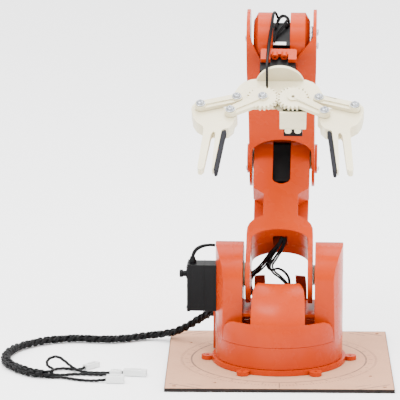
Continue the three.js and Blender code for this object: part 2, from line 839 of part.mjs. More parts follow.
// The braid leaves the harness post, comes down over the board's corner and lies on the
// surface around the board; from its end four leads go on, each to a connector.
const HARNESS_RADIUS = 3.5;
const HARNESS_ROUTE = [
  [-56.8, 40.6, 35],
  [-61.3, 44.6, 34.5],
  [-66, 49.5, 31],
  [-74.2, 57.5, 24],
  [-84, 62, 17],
  [-95.4, 67, 10.2],
  [-102, 71, 7.9],
  [-109, 75, 5.8],
  [-121, 76, 4.2],
  [-136, 69.5, 3.8],
  [-152, 63.8, 3.8],
  [-165, 63.6, 3.8],
  [-178, 65, 3.8],
  [-190, 65.2, 3.8],
  [-202, 63, 3.8],
  [-214, 57.5, 3.8],
  [-226.5, 47.8, 3.8],
  [-236, 36.6, 3.8],
  [-242.8, 22, 3.8],
  [-245.8, 6, 3.8],
  [-245.4, -9, 3.8],
  [-241.6, -23.5, 3.8],
  [-234.6, -35.5, 3.8],
  [-226, -46, 3.8],
  [-217.4, -53.6, 3.8],
  [-208, -57.5, 3.8],
];

const LEAD_RADIUS = 1.1;
const LEAD_ROUTES = [
  [
    [-206.9, -56.1, 3.8], [-203.6, -57.2, 3], [-200.4, -54.4, 1.8], [-200.4, -48.4, 1.4], [-202.2, -41.4, 1.4],
    [-201, -35.8, 1.4], [-196, -31.8, 1.4], [-189, -31, 1.4], [-183.4, -33.8, 1.4], [-179, -35.2, 1.6],
    [-175.6, -33.6, 2], [-173, -30.4, 2.3],
  ],
  [
    [-208.2, -59.3, 3.8], [-204.8, -60.8, 3.8], [-200.8, -59.4, 4], [-196.6, -56.2, 2.6], [-191.6, -52.8, 1.4],
    [-184, -50.2, 1.4], [-174, -49.4, 1.4], [-164, -50.4, 1.4], [-156, -52, 1.7], [-149.2, -52.9, 2.4],
  ],
  [
    [-207.5, -57.7, 2.05], [-203.4, -59.4, 1.5], [-198, -60, 1.3], [-191, -60.6, 1.3], [-183, -64.4, 1.3],
    [-175, -68.2, 1.3], [-166.5, -70, 1.3], [-158.6, -70.6, 1.7], [-151.8, -70.8, 2.4],
  ],
  [
    [-207.5, -57.7, 5.6], [-203.6, -59, 6.2], [-199.8, -57, 6.4], [-199.4, -52, 6.4], [-202.4, -46.8, 6.6],
    [-205.6, -42, 8], [-205.2, -37.8, 10.8], [-201.6, -35.6, 12.9], [-196.6, -35, 13.2], [-191.6, -35.6, 10.6],
    [-186.4, -37, 6.6], [-180.6, -39.8, 3.4], [-173, -42.8, 1.6], [-163.6, -44.4, 1.4], [-154.4, -44.6, 1.4],
    [-146, -45, 1.7], [-137.8, -46.4, 2.4],
  ],
];

// Each connector's near face, its heading about z, and its length, width and height.
const CONNECTORS = [
  { at: [-173, -30.4], heading: 50, length: 17, width: 6, height: 4.6 },
  { at: [-149.2, -52.9], heading: -7, length: 10, width: 7, height: 6.4 },
  { at: [-151.8, -70.8], heading: -2, length: 16, width: 8, height: 6.4 },
  { at: [-137.8, -46.4], heading: -9, length: 21, width: 7, height: 5.6 },
];

function makeConnector({ length, width, height }) {
  const body = box(GAP, length, -width / 2, width / 2, 0.1, height);
  const latch = box(length * 0.3, length * 0.75, -width / 5, width / 5, height - 0.1, height + 1);
  const mouth = box(length - 2.2, length + 1, -width / 2 + 1, width / 2 - 1, 1.2, height - 1);
  return cut(join([body, latch]), [mouth]);
}

// Leads that cross a joint, given in the frame of the group that carries them.
const SHOULDER_LEADS = {
  shoulder_lead_left: [
    [2, 19, 111], [-2, 18.6, 103], [-9, 20, 94], [-15, 22, 85], [-20, 24.6, 79],
    [-25, 28.4, 74], [-27.6, 30, 67], [-26, 28.5, 59], [-21, 24, 53],
  ],
  shoulder_lead_right: [
    [4.8, 20.5, 110], [2, 21.5, 101], [-4, 23.4, 91], [-8.4, 25, 83], [-6, 26.5, 77],
    [0, 27, 72], [6, 26, 66], [9, 23.5, 59], [9, 21, 53],
  ],
};
const SERVO_LEAD = [
  [-77.6, 0, 91.5], [-77.4, 0, 97], [-74.6, 0, 102.6], [-69.4, 0, 106.2], [-63, 0, 107.4], [-57.4, 0, 107.2],
];
const GRIPPER_LEAD = [
  [-4, 13.5, -13.5], [-6, 20.5, -12], [-7.6, 25.3, -4], [-8.6, 24.4, 8], [-9.8, 20.4, 17.5], [-10.8, 17, 27],
  [-11.3, 16.6, 38], [-11.5, 19.4, 52], [-11.5, 21, 62], [-11.3, 17.4, 70], [-11.2, 11.4, 74.6], [-11.2, 7.4, 75.4],
];

// ---- assembly ----
const arm = new THREE.Group();
place(arm, 'base_board', makeBoard(), 'board');
place(arm, 'base_ring', makeRing(), 'orange');

const baseServo = aimServo(arm, [0, 0, BOARD_THICK + 2 * GAP], [0, 0, 1], [0, -1, 0]);
place(baseServo, 'base_servo', servoCase(LARGE_SERVO, 0, 13), 'black');

const turret = new THREE.Group();
turret.rotation.z = THREE.MathUtils.degToRad(BASE_YAW);
arm.add(turret);
place(turret, 'turret_body', makeTurretBody(), 'orange');
place(turret, 'turret_front_cover', makeFrontCover(), 'orange');
place(turret, 'turret_rear_cover', makeRearCover(), 'orange');
const baseHorn = join([rod('z', 10.5, 46, 48, 0, 0, 28), rod('z', 5, 45.6, 47, 0, 0, 20)]);
place(turret, 'base_horn', baseHorn, 'cream');

const shoulderServo = new THREE.Group();
shoulderServo.position.set(0, 0, SHOULDER_HEIGHT);
turret.add(shoulderServo);
const shoulderServoStart = -82;
const rearShaft = join([
  rod('x', 2.6, shoulderServoStart - 7.2, shoulderServoStart + 1, 0, 0, 20),
  rod('x', 4.4, shoulderServoStart - 1.4, shoulderServoStart + 1, 0, 0, 20),
]);
place(shoulderServo, 'shoulder_servo', join([servoCase(LARGE_SERVO, shoulderServoStart, 9.9), rearShaft]), 'black');

const shoulder = turnedGroup(turret, [0, 0, SHOULDER_HEIGHT], UPPER_LEAN);
place(shoulder, 'upper_arm_front', makeUpperFront(), 'orange');
place(shoulder, 'upper_arm_rear', makeUpperRear(), 'orange');
place(shoulder, 'shoulder_horn', join([rod('x', 10.5, -36, -FORK_OUTER - GAP), rod('x', 5, -39.6, -35)]), 'cream');
place(shoulder, 'shoulder_bush', join([rod('x', 9, 30.1, 31.6), rod('x', 5, 31, 37)]), 'cream');

const elbowServo = turnedGroup(shoulder, [0, 0, LINK_LENGTH], 0);
place(elbowServo, 'elbow_servo', servoCase(LARGE_SERVO, -LARGE_SERVO.height / 2 - 1, 0), 'black');

const elbow = turnedGroup(shoulder, [0, 0, LINK_LENGTH], FOREARM_LEAN - UPPER_LEAN);
place(elbow, 'forearm_front', makeForearmFront(), 'orange');
place(elbow, 'forearm_rear', makeForearmRear(), 'orange');
place(elbow, 'elbow_horn_right', join([rod('x', 9.6, 24.6, 26.6), rod('x', 4.6, 22.3, 25)]), 'cream');
place(elbow, 'elbow_horn_left', join([rod('x', 9.6, -26.6, -24.6), rod('x', 4.6, -25, -22.3)]), 'cream');
place(elbow, 'elbow_screw_right', panHead('x', 2.2, 32.3, 1.4, 0, -10.4), 'steel');
place(elbow, 'elbow_screw_left', panHead('x', 2.2, -32.3, -1.4, 0, -10.4), 'steel');
place(elbow, 'wrist_horn_right', makeWristHornRight(), 'steel');
place(elbow, 'wrist_screw_left', panHead('x', 3, -31.3, -1.6, 0, LINK_LENGTH), 'steel');

const handTilt = 90 + HAND_DROP - FOREARM_LEAN;
const wrist = turnedGroup(elbow, [0, 0, LINK_LENGTH], handTilt);
place(wrist, 'wrist_shell_left', makeWristShell(-1), 'orange');
place(wrist, 'wrist_shell_right', makeWristShell(1), 'orange');
const pitchServo = turnedGroup(wrist, [0, 0, 0], 180);
place(pitchServo, 'wrist_pitch_servo', makePitchServo(), 'black');
place(wrist, 'roll_servo_clamp', makeRollClamp(), 'orange');
const rollServo = aimServo(wrist, [0.4, 0, 0], [0, 0, 1], [1, 0, 0]);
place(rollServo, 'wrist_roll_servo', servoCase(SMALL_SERVO, ROLL_SERVO_START, 0), 'black');

const gripper = new THREE.Group();
wrist.add(gripper);
place(gripper, 'roll_horn', join([rod('z', 8.5, 58.3, 60), rod('z', 2.8, 58, 63)]), 'cream');
place(gripper, 'gripper_frame', makeGripperFrame(), 'cream');
const gripServo = aimServo(gripper, [HAND_OFFSET + GEAR_PIVOT, 0, GEAR_LINE], [0, 1, 0], [0, 0, 1]);
place(gripServo, 'gripper_servo', servoCase(SMALL_SERVO, LEVER_BOTTOM - 2.6 - SMALL_SERVO.height, 0), 'black');
place(gripper, 'gear_lever_right', makeGearLever(1), 'cream');
place(gripper, 'gear_lever_left', makeGearLever(-1), 'cream');
place(gripper, 'link_right', makeLink(1), 'cream');
place(gripper, 'link_left', makeLink(-1), 'cream');
place(gripper, 'finger_right', makeFinger(1), 'cream');
place(gripper, 'finger_left', makeFinger(-1), 'cream');
place(gripper, 'pad_right', makePad(1), 'pad');
place(gripper, 'pad_left', makePad(-1), 'pad');
place(gripper, 'screw_gear_left', pivotScrew(handPoint([GEAR_PIVOT, 0], -1)), 'steel');
[['right', 1], ['left', -1]].forEach(([word, side]) => {
  place(gripper, `screw_link_${word}`, pivotScrew(handPoint(OUTER_PIVOT, side)), 'steel');
  place(gripper, `screw_lever_${word}`, pivotScrew(handPoint(FINGER_INNER, side)), 'steel');
  place(gripper, `screw_finger_${word}`, pivotScrew(handPoint(FINGER_OUTER, side)), 'steel');
});

// ---- harness and leads ----
place(arm, 'harness_braid', lead(HARNESS_ROUTE, HARNESS_RADIUS, 8, 34), 'lead');
LEAD_ROUTES.forEach((route, i) => {
  place(arm, `harness_lead_${i + 1}`, lead(route, LEAD_RADIUS, 8, 2 * route.length), 'lead');
});
CONNECTORS.forEach((connector, i) => {
  const holder = new THREE.Group();
  holder.position.set(...connector.at, 0);
  holder.rotation.z = THREE.MathUtils.degToRad(connector.heading);
  arm.add(holder);
  place(holder, `harness_connector_${i + 1}`, makeConnector(connector), 'nylon');
});
Object.entries(SHOULDER_LEADS).forEach(([name, route]) => {
  place(turret, name, lead(route, LEAD_RADIUS, 8, 18), 'lead');
});
place(turret, 'shoulder_servo_lead', lead(SERVO_LEAD, LEAD_RADIUS, 8, 10), 'lead');
place(wrist, 'gripper_lead', lead(GRIPPER_LEAD, LEAD_RADIUS, 8, 24), 'lead');

export default arm;
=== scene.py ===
# Desktop robot arm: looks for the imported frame. Metres, +Z up, the arm faces -Y.
import math

import bmesh
import bpy
from mathutils import Matrix, Vector, noise
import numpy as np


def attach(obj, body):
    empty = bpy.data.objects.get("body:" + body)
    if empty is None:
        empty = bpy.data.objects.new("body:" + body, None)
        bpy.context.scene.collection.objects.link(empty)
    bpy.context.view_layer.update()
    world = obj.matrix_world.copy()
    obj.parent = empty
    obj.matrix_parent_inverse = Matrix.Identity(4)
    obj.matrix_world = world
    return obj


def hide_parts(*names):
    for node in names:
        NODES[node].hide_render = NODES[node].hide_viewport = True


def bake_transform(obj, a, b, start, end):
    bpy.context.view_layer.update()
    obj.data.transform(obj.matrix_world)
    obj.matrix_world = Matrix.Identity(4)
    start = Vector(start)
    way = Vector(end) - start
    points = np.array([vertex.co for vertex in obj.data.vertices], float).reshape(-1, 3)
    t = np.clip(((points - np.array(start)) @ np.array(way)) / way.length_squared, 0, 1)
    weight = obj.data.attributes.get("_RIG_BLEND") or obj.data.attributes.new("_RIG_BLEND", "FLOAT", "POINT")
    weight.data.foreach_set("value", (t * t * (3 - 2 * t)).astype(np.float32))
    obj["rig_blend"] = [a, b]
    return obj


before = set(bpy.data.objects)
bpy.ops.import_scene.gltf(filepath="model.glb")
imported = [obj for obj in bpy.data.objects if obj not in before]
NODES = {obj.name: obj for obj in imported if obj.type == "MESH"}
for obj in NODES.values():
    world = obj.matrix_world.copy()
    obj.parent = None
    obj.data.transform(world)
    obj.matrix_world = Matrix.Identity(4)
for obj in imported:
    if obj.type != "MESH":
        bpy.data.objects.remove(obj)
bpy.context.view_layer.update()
MM = 0.001

# ---- camera ----
camera_data = bpy.data.cameras.new("camera")
camera = bpy.data.objects.new("camera", camera_data)
bpy.context.scene.collection.objects.link(camera)
camera.location = (-0.0155, -2.4748, 0.6738)
camera.rotation_euler = (math.radians(90 - 11.975), 0, math.radians(1.283))
camera_data.sensor_width = 36
camera_data.lens = 256.05
camera_data.clip_end = 20
bpy.context.scene.camera = camera

# ---- places, in millimetres, as in the part's source ----
BASE_YAW = math.radians(-1.8)
SHOULDER_HEIGHT = 81
LINK = 125
UPPER_LEAN = math.radians(45)
FOREARM_LEAN = math.radians(20)
HAND_DROP = math.radians(32)
HAND_OFFSET = -1.2
GEAR_LINE = 92
GEAR_PIVOT = (13.2, 0)
OUTER_PIVOT = (35.6, 1)
FINGER_INNER = (40.7, 18)
FINGER_OUTER = (66.8, 10.8)
TURRET_RADIUS = 57

TURN = Matrix.Rotation(BASE_YAW, 4, "Z")
SHOULDER = Vector((0, 0, SHOULDER_HEIGHT))
ELBOW = SHOULDER + LINK * Vector((0, math.sin(UPPER_LEAN), math.cos(UPPER_LEAN)))
WRIST = ELBOW + LINK * Vector((0, -math.sin(FOREARM_LEAN), math.cos(FOREARM_LEAN)))
ROLL = Vector((0, -math.cos(HAND_DROP), -math.sin(HAND_DROP)))
PALM = Vector((0, -math.sin(HAND_DROP), math.cos(HAND_DROP)))
SIDE = Vector((1, 0, 0))


def frame_of(origin, x, y, z):
    """A turret-side frame: its matrix takes millimetres in that frame to the row's millimetres."""
    local = Matrix((x, y, z)).transposed().to_4x4()
    return TURN @ Matrix.Translation(origin) @ local


TURRET_FRAME = frame_of(Vector((0, 0, 0)), SIDE, Vector((0, 1, 0)), Vector((0, 0, 1)))
HAND_FRAME = frame_of(WRIST, SIDE, PALM, ROLL)


def link_frame(origin, lean):
    return frame_of(
        origin,
        SIDE,
        Vector((0, math.cos(lean), -math.sin(lean))),
        Vector((0, math.sin(lean), math.cos(lean))),
    )


FOREARM_FRAME = link_frame(ELBOW, -FOREARM_LEAN)


# ---- mesh helpers ----
def make_object(name, verts, faces, material, smooth=True):
    """A mesh object from points in millimetres of the row frame."""
    mesh = bpy.data.meshes.new(name)
    mesh.from_pydata([tuple(Vector(v) * MM) for v in verts], [], faces)
    mesh.validate()
    mesh.update()
    if smooth:
        mesh.polygons.foreach_set("use_smooth", [True] * len(mesh.polygons))
    piece = bpy.data.objects.new(name, mesh)
    bpy.context.scene.collection.objects.link(piece)
    mesh.materials.append(material)
    return piece


def outward(piece):
    """Turns the faces of a closed mesh outwards."""
    work = bmesh.new()
    work.from_mesh(piece.data)
    bmesh.ops.recalc_face_normals(work, faces=work.faces)
    work.to_mesh(piece.data)
    work.free()
    return piece


def bevel(piece, width, angle=35, segments=2):
    modifier = piece.modifiers.new("edges", "BEVEL")
    modifier.width = width * MM
    modifier.segments = segments
    modifier.limit_method = "ANGLE"
    modifier.angle_limit = math.radians(angle)
    modifier.harden_normals = True
    modifier.use_clamp_overlap = True


def spline(points, step):
    """Points a fixed step apart along a smooth curve through the given points."""
    given = [Vector(p) for p in points]
    ends = [2 * given[0] - given[1], *given, 2 * given[-1] - given[-2]]
    dense = []
    for i in range(1, len(ends) - 2):
        p0, p1, p2, p3 = ends[i - 1 : i + 3]
        knots = [0.0]
        for a, b in ((p0, p1), (p1, p2), (p2, p3)):
            knots.append(knots[-1] + max((b - a).length, 1e-6) ** 0.5)
        t0, t1, t2, t3 = knots
        for k in range(24):
            t = t1 + (t2 - t1) * k / 24
            a1 = p0 * ((t1 - t) / (t1 - t0)) + p1 * ((t - t0) / (t1 - t0))
            a2 = p1 * ((t2 - t) / (t2 - t1)) + p2 * ((t - t1) / (t2 - t1))
            a3 = p2 * ((t3 - t) / (t3 - t2)) + p3 * ((t - t2) / (t3 - t2))
            b1 = a1 * ((t2 - t) / (t2 - t0)) + a2 * ((t - t0) / (t2 - t0))
            b2 = a2 * ((t3 - t) / (t3 - t1)) + a3 * ((t - t1) / (t3 - t1))
            dense.append(b1 * ((t2 - t) / (t2 - t1)) + b2 * ((t - t1) / (t2 - t1)))
    dense.append(given[-1])
    total = sum((b - a).length for a, b in zip(dense, dense[1:]))
    count = max(2, round(total / step))
    out, walked, k = [dense[0]], 0.0, 0
    for i in range(1, count):
        target = total * i / count
        while walked + (dense[k + 1] - dense[k]).length < target:
            walked += (dense[k + 1] - dense[k]).length
            k += 1
        piece = (dense[k + 1] - dense[k]).length
        out.append(dense[k].lerp(dense[k + 1], (target - walked) / piece))
    out.append(dense[-1])
    return out, total


def carried_frames(path, up):
    """A side and an upward direction at each point, carried along without twist."""
    sides, ups = [], []
    current = Vector(up)
    for i, point in enumerate(path):
        ahead = path[min(i + 1, len(path) - 1)] - path[max(i - 1, 0)]
        ahead.normalize()
        current = (current - ahead * current.dot(ahead)).normalized()
        ups.append(current.copy())
        sides.append(ahead.cross(current).normalized())
    return sides, ups


def add_tube(verts, faces, path, radius, sides=8):
    """Adds a closed tube along a path to lists of vertices and faces."""
    across, ups = carried_frames(path, (0.03, 0.02, 1))
    first = len(verts)
    for i, point in enumerate(path):
        for k in range(sides):
            a = 2 * math.pi * k / sides
            verts.append(point + radius * (math.cos(a) * across[i] + math.sin(a) * ups[i]))
    for i in range(len(path) - 1):
        for k in range(sides):
            a = first + i * sides + k
            b = first + i * sides + (k + 1) % sides
            faces.append((a, b, b + sides, a + sides))
    last = first + (len(path) - 1) * sides
    faces.append(tuple(reversed(range(first, first + sides))))
    faces.append(tuple(range(last, last + sides)))


# ---- materials ----
class Paint:
    """A Principled material whose colour, roughness and bump come from nodes."""

    def __init__(self, name, roughness, metallic=0.0):
        self.material = bpy.data.materials.new(name)
        self.material.use_nodes = True
        self.tree = self.material.node_tree
        self.shader = self.tree.nodes["Principled BSDF"]
        self.shader.inputs["Metallic"].default_value = metallic
        self.shader.inputs["Roughness"].default_value = roughness
        self.place = self.node("ShaderNodeTexCoord").outputs["Object"]
        self.height = None

    def node(self, kind, **settings):
        made = self.tree.nodes.new(kind)
        for key, value in settings.items():
            setattr(made, key, value)
        return made

    def link(self, output, socket):
        self.tree.links.new(output, socket)

    def math(self, operation, a, b=None, clamp=False):
        made = self.node("ShaderNodeMath", operation=operation, use_clamp=clamp)
        for socket, value in zip(made.inputs, (a, b)):
            if value is None:
                continue
            if isinstance(value, (int, float)):
                socket.default_value = value
            else:
                self.link(value, socket)
        return made.outputs[0]

    def noise(self, scale, detail=3.0, rough=0.5, stretch=None):
        made = self.node("ShaderNodeTexNoise")
        made.inputs["Scale"].default_value = scale
        made.inputs["Detail"].default_value = detail
        made.inputs["Roughness"].default_value = rough
        source = self.place
        if stretch:
            mapping = self.node("ShaderNodeMapping")
            mapping.inputs["Scale"].default_value = stretch
            self.link(source, mapping.inputs["Vector"])
            source = mapping.outputs[0]
        self.link(source, made.inputs["Vector"])
        return made.outputs["Fac"]

    def mix(self, factor, first, second):
        made = self.node("ShaderNodeMix", data_type="RGBA")
        if isinstance(factor, (int, float)):
            made.inputs[0].default_value = factor
        else:
            self.link(factor, made.inputs[0])
        for socket, value in ((made.inputs[6], first), (made.inputs[7], second)):
            if isinstance(value, tuple):
                socket.default_value = (*value, 1)
            else:
                self.link(value, socket)
        return made.outputs[2]

    def ramp(self, factor, low, high):
        made = self.node("ShaderNodeMapRange", clamp=True)
        self.link(factor, made.inputs["Value"])
        made.inputs["From Min"].default_value = low
        made.inputs["From Max"].default_value = high
        return made.outputs["Result"]

    def colour(self, output):
        self.link(output, self.shader.inputs["Base Color"])

    def rough(self, factor, low, high):
        made = self.node("ShaderNodeMapRange", clamp=True)
        self.link(factor, made.inputs["Value"])
        made.inputs["From Min"].default_value = 0.3
        made.inputs["From Max"].default_value = 0.7
        made.inputs["To Min"].default_value = low
        made.inputs["To Max"].default_value = high
        self.link(made.outputs["Result"], self.shader.inputs["Roughness"])

    def bump(self, height, depth, strength=1.0):
        made = self.node("ShaderNodeBump")
        made.inputs["Strength"].default_value = strength
        made.inputs["Distance"].default_value = depth * MM
        self.link(height, made.inputs["Height"])
        if self.height is not None:
            self.link(self.height, made.inputs["Normal"])
        self.height = made.outputs["Normal"]
        self.link(self.height, self.shader.inputs["Normal"])


def moulded(name, base, dark, gloss, depth, grain, shine=0.5, subsurface=0.0, glow=(1, 1, 1)):
    """Moulded plastic: slow colour variation, fine skin texture and uneven gloss."""
    low, high = gloss
    paint = Paint(name, (low + high) / 2)
    paint.shader.inputs["Specular IOR Level"].default_value = shine
    slow = paint.noise(14, 2)
    fine = paint.noise(grain, 2, 0.6)
    speck = paint.ramp(paint.noise(2600, 1), 0.66, 0.8)
    tone = paint.mix(paint.ramp(slow, 0.35, 0.68), base, dark)
    speck_tone = tuple(c * 0.6 for c in dark)
    paint.colour(paint.mix(paint.math("MULTIPLY", speck, 0.12), tone, speck_tone))
    paint.rough(paint.noise(60, 4), low, high)
    paint.bump(fine, depth)
    paint.bump(paint.noise(90, 2), depth * 2.5, 0.5)
    if subsurface:
        paint.shader.inputs["Subsurface Weight"].default_value = subsurface
        paint.shader.inputs["Subsurface Radius"].default_value = glow
        paint.shader.inputs["Subsurface Scale"].default_value = 0.003
    return paint


ORANGE = moulded(
    "orange_abs", (0.37, 0.030, 0.0006), (0.33, 0.023, 0.0004), (0.20, 0.32), 0.03, 700, 0.11
)
CREAM = moulded(
    "ivory_abs", (0.66, 0.60, 0.41), (0.58, 0.51, 0.33), (0.26, 0.38), 0.03, 700, 0.4, 0.1, (1.0, 0.7, 0.4)
)
SERVO = moulded(
    "servo_black", (0.0020, 0.0020, 0.0023), (0.0035, 0.0035, 0.004), (0.36, 0.52), 0.06, 1400, 0.10
)
LEAD = moulded(
    "lead_black", (0.0015, 0.0015, 0.0018), (0.003, 0.003, 0.0035), (0.34, 0.5), 0.05, 500, 0.12
)
PAD = moulded(
    "foam_rubber", (0.016, 0.016, 0.019), (0.010, 0.010, 0.012), (0.75, 0.95), 0.25, 420, 0.1
)
NYLON = moulded(
    "white_nylon", (0.66, 0.67, 0.66), (0.60, 0.61, 0.60), (0.28, 0.4), 0.02, 700, 0.5, 0.15
)
# Plain white, for the thin white plate laid on the wrist servo.
WHITE_PLATE_PAINT = moulded("white_plate", (0.86, 0.86, 0.85), (0.78, 0.78, 0.77), (0.5, 0.6), 0.02, 900)


def make_steel():
    paint = Paint("zinc_steel", 0.25, 1.0)
    slow = paint.ramp(paint.noise(220, 3), 0.3, 0.7)
    paint.colour(paint.mix(slow, (0.40, 0.41, 0.43), (0.27, 0.28, 0.30)))
    paint.rough(paint.noise(900, 3), 0.2, 0.38)
    paint.bump(paint.noise(1500, 2), 0.02)
    return paint


STEEL = make_steel()


def make_board_paint():
    """Bare fibreboard, scorched at its cut edge, with circles, ticks and lines engraved in it."""
    paint = Paint("fibreboard", 0.7)
    paint.shader.inputs["Specular IOR Level"].default_value = 0.2
    axes = paint.node("ShaderNodeSeparateXYZ")
    paint.link(paint.place, axes.inputs[0])
    x, y, _ = axes.outputs
    square = paint.math("ADD", paint.math("MULTIPLY", x, x), paint.math("MULTIPLY", y, y))
    radius = paint.math("SQRT", square)
    angle = paint.math("ARCTAN2", y, x)

    def band(value, centre, half):
        off = paint.math("ABSOLUTE", paint.math("SUBTRACT", value, centre))
        return paint.math("LESS_THAN", off, half)

    def both(a, b):
        return paint.math("MULTIPLY", a, b)

    def either(a, b):
        return paint.math("MAXIMUM", a, b)

    def between(value, low, high):
        return both(paint.math("GREATER_THAN", value, low), paint.math("LESS_THAN", value, high))

    circle = band(radius, 78.5 * MM, 0.8 * MM)
    turns = paint.math("DIVIDE", angle, math.radians(10))
    turn_part = paint.math("FRACT", paint.math("ADD", turns, 0.5))
    phase = paint.math("ABSOLUTE", paint.math("SUBTRACT", turn_part, 0.5))
    near_tick = paint.math("LESS_THAN", paint.math("MULTIPLY", phase, radius), 0.0026)
    tick = both(near_tick, between(radius, 80.8 * MM, 84.4 * MM))
    minor = paint.math("FRACT", paint.math("MULTIPLY", turns, 5))
    minor_off = paint.math("ABSOLUTE", paint.math("SUBTRACT", minor, 0.5))
    scale = both(paint.math("GREATER_THAN", minor_off, 0.36), between(radius, 86.2 * MM, 88.6 * MM))
    ax = paint.math("ABSOLUTE", x)
    ay = paint.math("ABSOLUTE", y)
    slant = paint.math("ADD", paint.math("MULTIPLY", ax, 0.5), paint.math("MULTIPLY", ay, 0.866))
    corner_line = both(band(slant, 120.5 * MM, 0.8 * MM), between(ax, 62 * MM, 96 * MM))
    inner_line = both(band(slant, 113 * MM, 0.6 * MM), between(ax, 66 * MM, 80 * MM))
    cross = both(band(x, 0, 0.5 * MM), between(ay, 84 * MM, 97 * MM))
    lines = either(scale, either(corner_line, either(inner_line, cross)))
    engraved = either(either(circle, tick), lines)
    wobble = paint.ramp(paint.noise(260, 2), 0.24, 0.46)
    engraved = both(engraved, wobble)

    fibre = paint.noise(420, 4, 0.65, (1, 1.6, 1))
    cloud = paint.noise(22, 3)
    face = paint.mix(paint.ramp(cloud, 0.3, 0.72), (0.44, 0.235, 0.140), (0.38, 0.195, 0.115))
    face = paint.mix(paint.math("MULTIPLY", paint.ramp(fibre, 0.42, 0.7), 0.3), face, (0.30, 0.175, 0.12))
    face = paint.mix(paint.math("MULTIPLY", engraved, 0.8), face, (0.10, 0.065, 0.05))
    edge_off = paint.math("MAXIMUM", ax, ay)
    ragged = paint.math("ADD", edge_off, paint.math("MULTIPLY", fibre, 1.2 * MM))
    scorch = paint.ramp(ragged, 99.3 * MM, 100.3 * MM)
    side = paint.math("GREATER_THAN", edge_off, 99.85 * MM)
    char = paint.ramp(paint.noise(120, 3, 0.6, (1, 1, 5)), 0.3, 0.8)
    burnt = paint.mix(char, (0.003, 0.002, 0.002), (0.016, 0.008, 0.005))
    face = paint.mix(paint.math("MULTIPLY", scorch, 0.8), face, (0.10, 0.05, 0.03))
    paint.colour(paint.mix(side, face, burnt))
    paint.rough(fibre, 0.62, 0.82)
    paint.bump(fibre, 0.10, 0.6)
    paint.bump(paint.math("SUBTRACT", 1.0, engraved), 0.35, 0.8)
    return paint


BOARD = make_board_paint()


# ---- CAD nodes that stay, with softened edges ----
def dress(name, paint, width, angle=35, segments=2):
    """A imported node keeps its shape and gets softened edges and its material."""
    node = NODES[name]
    mesh = node.data
    if "custom_normal" in mesh.attributes:
        mesh.attributes.remove(mesh.attributes["custom_normal"])
    mesh.polygons.foreach_set("use_smooth", [True] * len(mesh.polygons))
    for item in [a for a in mesh.attributes if a.name == "sharp_edge"]:
        mesh.attributes.remove(item)
    weld = node.modifiers.new("weld", "WELD")
    weld.merge_threshold = 0.00002
    flat = node.modifiers.new("flat", "DECIMATE")
    flat.decimate_type = "DISSOLVE"
    flat.angle_limit = math.radians(0.6)
    if width:
        bevel(node, width, angle, segments)
    while len(node.material_slots) < 1:
        mesh.materials.append(paint.material)
    for item in node.material_slots:
        item.link = "OBJECT"
        item.material = paint.material


DRESSED = {
    ("orange", 1.1): ["turret_body", "upper_arm_front", "upper_arm_rear", "forearm_front", "forearm_rear"],
    ("orange", 0.8): ["base_ring", "roll_servo_clamp", "wrist_shell_left", "wrist_shell_right"],
    ("cream", 0.6): ["gripper_frame", "finger_right", "finger_left", "link_right", "link_left"],
    ("cream", 0.3): ["gear_lever_right", "gear_lever_left"],
    ("cream", 0.4): [
        "base_horn", "shoulder_horn", "shoulder_bush", "elbow_horn_right", "elbow_horn_left", "roll_horn",
    ],
    ("servo_black", 0.6): [
        "base_servo", "shoulder_servo", "elbow_servo", "wrist_pitch_servo", "wrist_roll_servo",
        "gripper_servo",
    ],
    ("pad_rubber", 0.5): ["pad_right", "pad_left"],
    ("board", 0.25): ["base_board"],
    ("nylon", 0.4): [f"harness_connector_{i}" for i in range(1, 5)],
}
PAINTS = {
    "orange": ORANGE,
    "cream": CREAM,
    "servo_black": SERVO,
    "pad_rubber": PAD,
    "board": BOARD,
    "nylon": NYLON,
}
for (slot, width), names in DRESSED.items():
    for name in names:
        dress(name, PAINTS[slot], width)


# ---- screws ----
def add_screw(verts, faces, place, radius, height, washer=0.0, turn=0.4):
    """A domed cross-head screw on a washer; place's z is the way it faces and 0 its seat."""
    rings, spokes = 16, 64
    seat = 0.0
    if washer:
        seat = 0.7
        rim = washer - 0.15
        profile = [(0, 0), (rim, 0), (washer, 0.12), (washer, 0.58), (rim, seat), (0, seat)]
        add_lathe(verts, faces, place, profile, 40)
    first = len(verts)
    turned = Matrix.Rotation(turn, 2)
    for i in range(rings + 1):
        share = i / rings
        r = radius * (1 - (1 - share) ** 1.6)
        for k in range(spokes):
            a = 2 * math.pi * k / spokes
            x, y = r * math.cos(a), r * math.sin(a)
            dome = height * (1 - (r / radius) ** 4) ** 0.5 * 0.92 + height * 0.08
            u, v = turned @ Vector((x, y))
            bar = min(abs(u), abs(v))
            reach = max(abs(u), abs(v))
            across = min(1, max(0, (radius * 0.13 + 0.12 - bar) / 0.24))
            along = min(1, max(0, (radius * 0.62 - reach) / 0.3))
            inside = across * along
            depth = inside * height * 0.55 * (1 - 0.5 * reach / radius)
            z = seat + (dome - depth if share < 1 else 0)
            verts.append(place @ Vector((x, y, z)))
    for i in range(rings):
        for k in range(spokes):
            a = first + i * spokes + k
            b = first + i * spokes + (k + 1) % spokes
            faces.append((a, b, b + spokes, a + spokes))
    faces.append(tuple(first + rings * spokes + k for k in reversed(range(spokes))))


